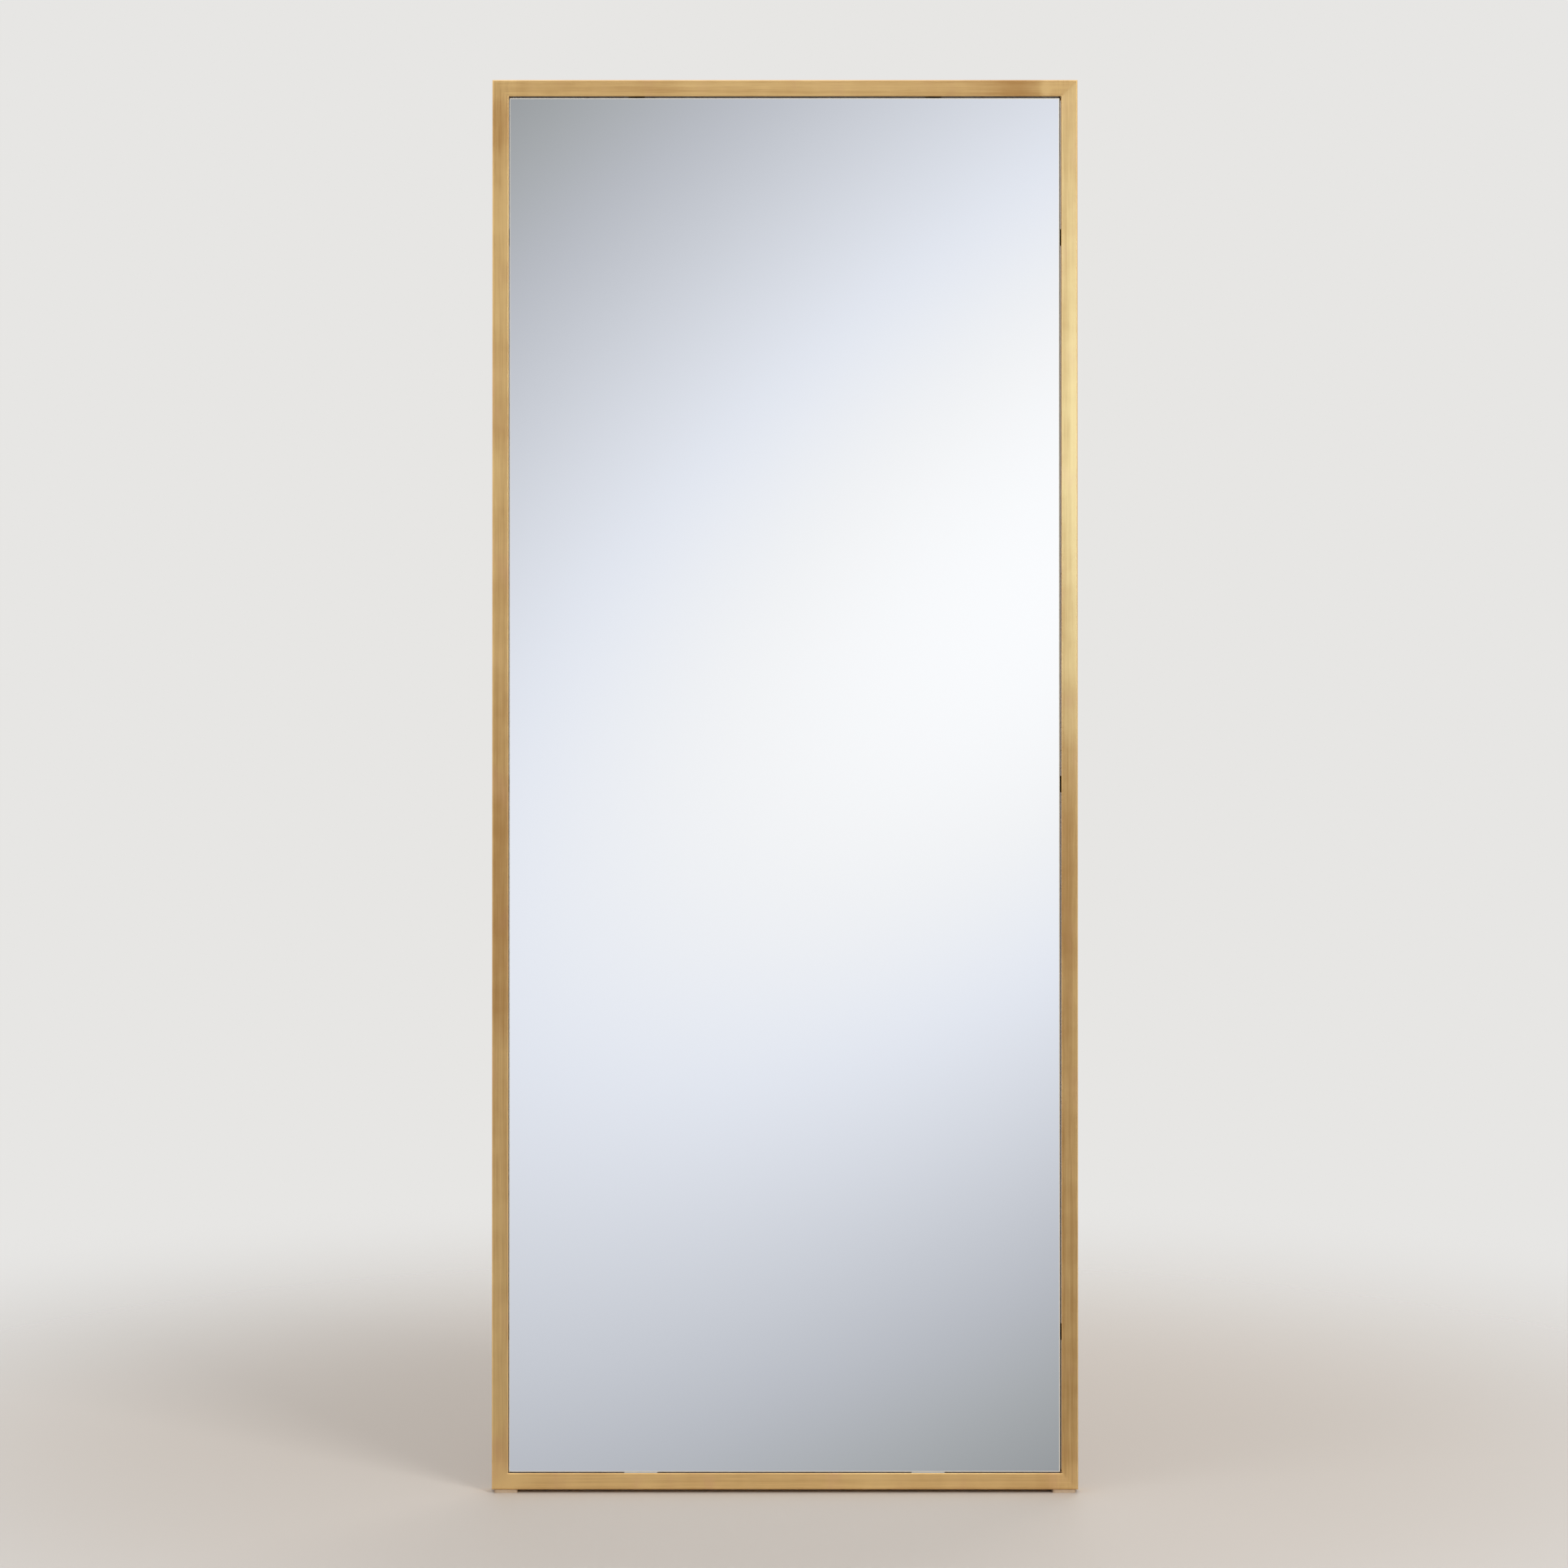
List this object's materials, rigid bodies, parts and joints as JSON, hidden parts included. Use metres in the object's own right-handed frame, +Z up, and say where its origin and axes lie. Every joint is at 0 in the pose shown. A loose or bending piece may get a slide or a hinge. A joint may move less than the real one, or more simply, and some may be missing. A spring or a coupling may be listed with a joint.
{
  "type": "leaning floor mirror",
  "caption": "Tall floor mirror that leans on a wall: flat silvered glass in a slim, square-cornered brass-finished tube frame with hangers, bumpers and floor pads.",
  "frame": {"origin": "on the line where the wall meets the floor, halfway along the mirror", "axes": "+X to the right as seen from the front, +Y towards the wall that the mirror leans on, +Z up"},
  "size_m": [0.711, 0.2118, 1.7059],
  "materials": {
    "antique_brass": "brushed and aged brass plating on steel, clear lacquered",
    "silvered_glass": "polished float glass, silvered on its back",
    "fibreboard": "raw medium-density fibreboard",
    "foam": "closed-cell polyethylene foam tape",
    "shim_plastic": "moulded polypropylene",
    "zinc_steel": "bright zinc-plated steel",
    "bumper_rubber": "moulded black rubber",
    "pad_rubber": "moulded pale rubber"
  },
  "bodies": {
    "mirror": {"backing_board": "fibreboard", "bottom_rail": "antique_brass", "fixing_tab_bottom_1": "antique_brass", "fixing_tab_bottom_2": "antique_brass", "fixing_tab_left_1": "antique_brass", "fixing_tab_left_2": "antique_brass", "fixing_tab_left_3": "antique_brass", "fixing_tab_right_1": "antique_brass", "fixing_tab_right_2": "antique_brass", "fixing_tab_right_3": "antique_brass", "fixing_tab_top_1": "antique_brass", "fixing_tab_top_2": "antique_brass", "floor_pad_left": "pad_rubber", "floor_pad_right": "pad_rubber", "foam_tape_1": "foam", "foam_tape_2": "foam", "foam_tape_3": "foam", "foam_tape_4": "foam", "glass_shim_left": "shim_plastic", "glass_shim_right": "shim_plastic", "hanger_screws": "zinc_steel", "hanger_strap_left": "zinc_steel", "hanger_strap_right": "zinc_steel", "left_stile": "antique_brass", "mirror_glass": "silvered_glass", "right_stile": "antique_brass", "tab_screws": "zinc_steel", "top_rail": "antique_brass", "wall_bumper_bottom_left": "bumper_rubber", "wall_bumper_bottom_right": "bumper_rubber", "wall_bumper_top_left": "bumper_rubber", "wall_bumper_top_right": "bumper_rubber"},
    "left_ring": {"hanger_ring_left": "zinc_steel"},
    "right_ring": {"hanger_ring_right": "zinc_steel"}
  },
  "joints": [
    {"name": "left_ring_swing", "type": "hinge", "parent": "mirror", "child": "left_ring", "pos_m": [-0.3455, -0.03502, 1.37443], "axis": [1, 0, 0], "range_deg": [-8, 170]},
    {"name": "right_ring_swing", "type": "hinge", "parent": "mirror", "child": "right_ring", "pos_m": [0.3455, -0.03502, 1.37443], "axis": [1, 0, 0], "range_deg": [-8, 170]}
  ]
}
